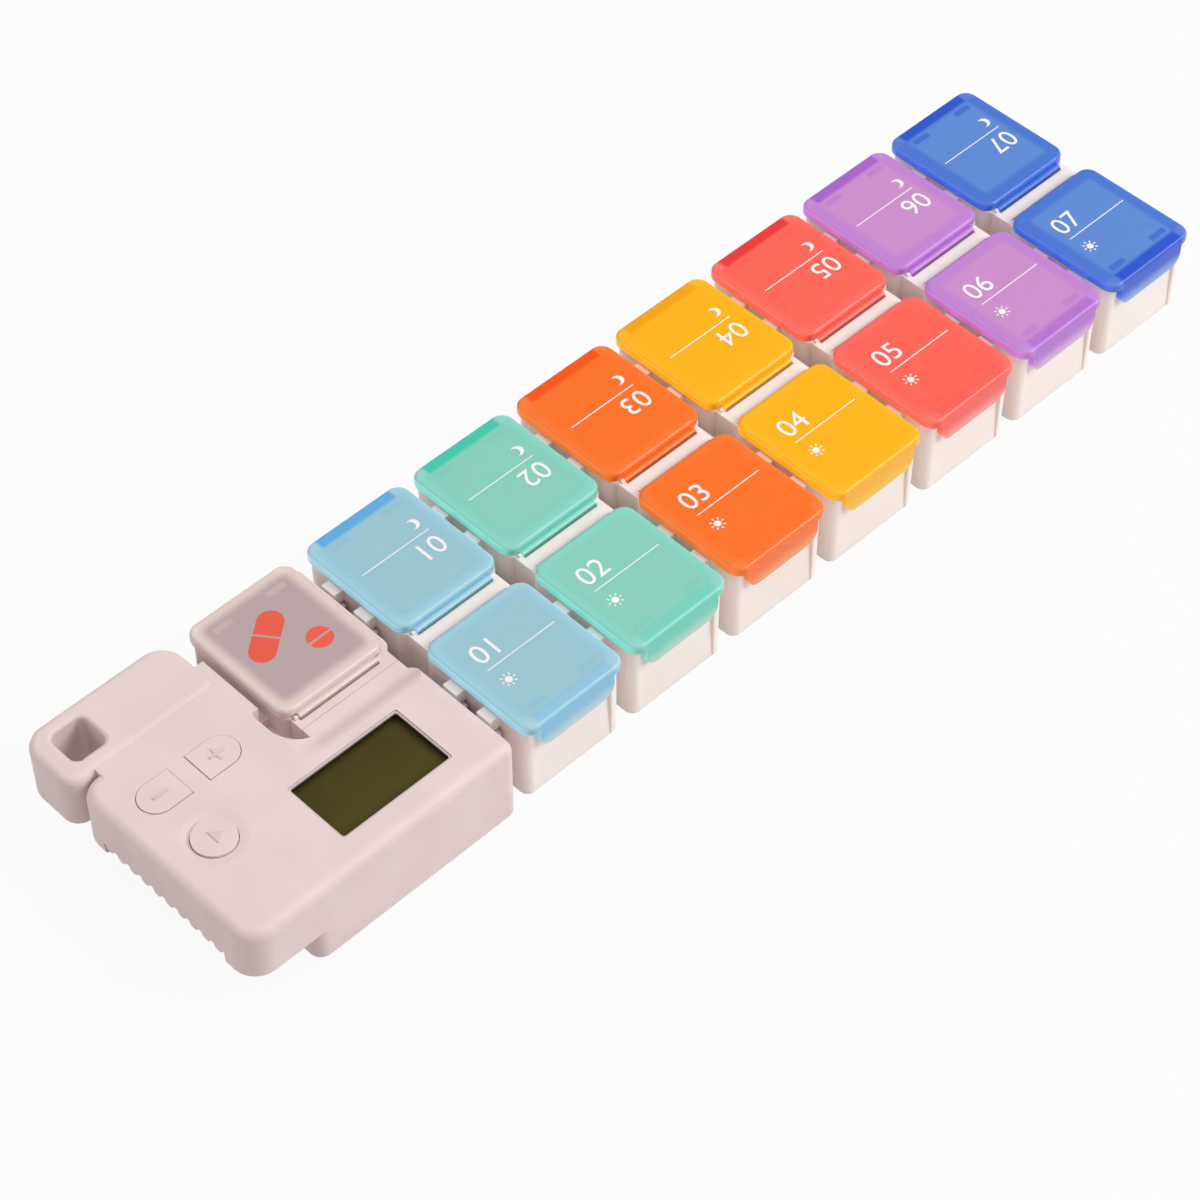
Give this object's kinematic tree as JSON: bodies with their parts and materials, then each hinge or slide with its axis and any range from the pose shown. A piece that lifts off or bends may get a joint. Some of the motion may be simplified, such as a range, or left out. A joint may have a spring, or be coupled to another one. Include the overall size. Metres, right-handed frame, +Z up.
{
  "type": "pill box with timer",
  "caption": "Weekly pill organiser: clip-together day trays with paired flip lids, joined to a timer with a display, buttons and an extra lidded compartment",
  "frame": {"origin": "middle of the footprint, on the table", "axes": "+X runs along the row from the timer to the last day, +Y to the evening side, +Z up"},
  "size_m": [0.2548, 0.0628, 0.0205],
  "materials": {
    "timer_shell": "fine satin, warm white",
    "tray_white": "satin, slightly milky",
    "lid_clear": "clear, lightly frosted",
    "lid_light_blue": "translucent",
    "lid_teal": "translucent",
    "lid_orange": "translucent",
    "lid_yellow": "translucent",
    "lid_red": "translucent",
    "lid_purple": "translucent",
    "lid_blue": "translucent",
    "display": "dark liquid crystal behind glass",
    "bezel": "satin",
    "rubber_strip": "matt",
    "board": "lacquered",
    "black_plastic": "satin",
    "steel": "satin"
  },
  "bodies": {
    "timer": {"timer_top_case": "timer_shell", "timer_bottom_case": "timer_shell", "display_glass": "display", "display_bezel": "bezel", "display_connector": "rubber_strip", "circuit_board": "board", "key_switches": "black_plastic", "driver_chip": "black_plastic", "buzzer": "black_plastic", "coin_cell": "steel", "cell_contact_top": "steel", "cell_contact_side": "steel", "case_screws": "steel"},
    "extra_lid": {"extra_lid": "lid_clear"},
    "battery_door": {"battery_door": "timer_shell"},
    "button_plus": {"button_plus": "timer_shell"},
    "button_minus": {"button_minus": "timer_shell"},
    "button_start": {"button_start": "timer_shell"},
    "day_1": {"tray_1": "tray_white"},
    "morning_lid_1": {"lid_morning_1": "lid_light_blue"},
    "evening_lid_1": {"lid_evening_1": "lid_light_blue"},
    "day_2": {"tray_2": "tray_white"},
    "morning_lid_2": {"lid_morning_2": "lid_teal"},
    "evening_lid_2": {"lid_evening_2": "lid_teal"},
    "day_3": {"tray_3": "tray_white"},
    "morning_lid_3": {"lid_morning_3": "lid_orange"},
    "evening_lid_3": {"lid_evening_3": "lid_orange"},
    "day_4": {"tray_4": "tray_white"},
    "morning_lid_4": {"lid_morning_4": "lid_yellow"},
    "evening_lid_4": {"lid_evening_4": "lid_yellow"},
    "day_5": {"tray_5": "tray_white"},
    "morning_lid_5": {"lid_morning_5": "lid_red"},
    "evening_lid_5": {"lid_evening_5": "lid_red"},
    "day_6": {"tray_6": "tray_white"},
    "morning_lid_6": {"lid_morning_6": "lid_purple"},
    "evening_lid_6": {"lid_evening_6": "lid_purple"},
    "day_7": {"tray_7": "tray_white"},
    "morning_lid_7": {"lid_morning_7": "lid_blue"},
    "evening_lid_7": {"lid_evening_7": "lid_blue"}
  },
  "joints": [
    {"name": "extra_lid_hinge", "type": "hinge", "parent": "timer", "child": "extra_lid", "pos_m": [-0.07783, 0.0025, 0.01815], "axis": [1, 0, 0], "range_deg": [0, 90]},
    {"name": "button_plus_press", "type": "slide", "parent": "timer", "child": "button_plus", "axis": [0, 0, -1], "range_m": [0, 0.0006], "stiffness_N_per_m": 1500},
    {"name": "button_minus_press", "type": "slide", "parent": "timer", "child": "button_minus", "axis": [0, 0, -1], "range_m": [0, 0.0006], "stiffness_N_per_m": 1500},
    {"name": "button_start_press", "type": "slide", "parent": "timer", "child": "button_start", "axis": [0, 0, -1], "range_m": [0, 0.0006], "stiffness_N_per_m": 1500},
    {"name": "battery_door_slide", "type": "slide", "parent": "timer", "child": "battery_door", "axis": [-1, 0, 0], "range_m": [0, 0.02]},
    {"name": "day_1_lift", "type": "slide", "parent": "timer", "child": "day_1", "axis": [0, 0, 1], "range_m": [0, 0.01]},
    {"name": "day_2_lift", "type": "slide", "parent": "day_1", "child": "day_2", "axis": [0, 0, 1], "range_m": [0, 0.01]},
    {"name": "day_3_lift", "type": "slide", "parent": "day_2", "child": "day_3", "axis": [0, 0, 1], "range_m": [0, 0.01]},
    {"name": "day_4_lift", "type": "slide", "parent": "day_3", "child": "day_4", "axis": [0, 0, 1], "range_m": [0, 0.01]},
    {"name": "day_5_lift", "type": "slide", "parent": "day_4", "child": "day_5", "axis": [0, 0, 1], "range_m": [0, 0.01]},
    {"name": "day_6_lift", "type": "slide", "parent": "day_5", "child": "day_6", "axis": [0, 0, 1], "range_m": [0, 0.01]},
    {"name": "day_7_lift", "type": "slide", "parent": "day_6", "child": "day_7", "axis": [0, 0, 1], "range_m": [0, 0.01]},
    {"name": "morning_lid_1_hinge", "type": "hinge", "parent": "day_1", "child": "morning_lid_1", "pos_m": [-0.04933, -0.0025, 0.01815], "axis": [-1, 0, 0], "range_deg": [0, 90]},
    {"name": "evening_lid_1_hinge", "type": "hinge", "parent": "day_1", "child": "evening_lid_1", "pos_m": [-0.04933, 0.0025, 0.01815], "axis": [1, 0, 0], "range_deg": [0, 90]},
    {"name": "morning_lid_2_hinge", "type": "hinge", "parent": "day_2", "child": "morning_lid_2", "pos_m": [-0.02233, -0.0025, 0.01815], "axis": [-1, 0, 0], "range_deg": [0, 90]},
    {"name": "evening_lid_2_hinge", "type": "hinge", "parent": "day_2", "child": "evening_lid_2", "pos_m": [-0.02233, 0.0025, 0.01815], "axis": [1, 0, 0], "range_deg": [0, 90]},
    {"name": "morning_lid_3_hinge", "type": "hinge", "parent": "day_3", "child": "morning_lid_3", "pos_m": [0.00468, -0.0025, 0.01815], "axis": [-1, 0, 0], "range_deg": [0, 90]},
    {"name": "evening_lid_3_hinge", "type": "hinge", "parent": "day_3", "child": "evening_lid_3", "pos_m": [0.00468, 0.0025, 0.01815], "axis": [1, 0, 0], "range_deg": [0, 90]},
    {"name": "morning_lid_4_hinge", "type": "hinge", "parent": "day_4", "child": "morning_lid_4", "pos_m": [0.03168, -0.0025, 0.01815], "axis": [-1, 0, 0], "range_deg": [0, 90]},
    {"name": "evening_lid_4_hinge", "type": "hinge", "parent": "day_4", "child": "evening_lid_4", "pos_m": [0.03168, 0.0025, 0.01815], "axis": [1, 0, 0], "range_deg": [0, 90]},
    {"name": "morning_lid_5_hinge", "type": "hinge", "parent": "day_5", "child": "morning_lid_5", "pos_m": [0.05867, -0.0025, 0.01815], "axis": [-1, 0, 0], "range_deg": [0, 90]},
    {"name": "evening_lid_5_hinge", "type": "hinge", "parent": "day_5", "child": "evening_lid_5", "pos_m": [0.05867, 0.0025, 0.01815], "axis": [1, 0, 0], "range_deg": [0, 90]},
    {"name": "morning_lid_6_hinge", "type": "hinge", "parent": "day_6", "child": "morning_lid_6", "pos_m": [0.08568, -0.0025, 0.01815], "axis": [-1, 0, 0], "range_deg": [0, 90]},
    {"name": "evening_lid_6_hinge", "type": "hinge", "parent": "day_6", "child": "evening_lid_6", "pos_m": [0.08568, 0.0025, 0.01815], "axis": [1, 0, 0], "range_deg": [0, 90]},
    {"name": "morning_lid_7_hinge", "type": "hinge", "parent": "day_7", "child": "morning_lid_7", "pos_m": [0.11267, -0.0025, 0.01815], "axis": [-1, 0, 0], "range_deg": [0, 90]},
    {"name": "evening_lid_7_hinge", "type": "hinge", "parent": "day_7", "child": "evening_lid_7", "pos_m": [0.11267, 0.0025, 0.01815], "axis": [1, 0, 0], "range_deg": [0, 90]}
  ]
}
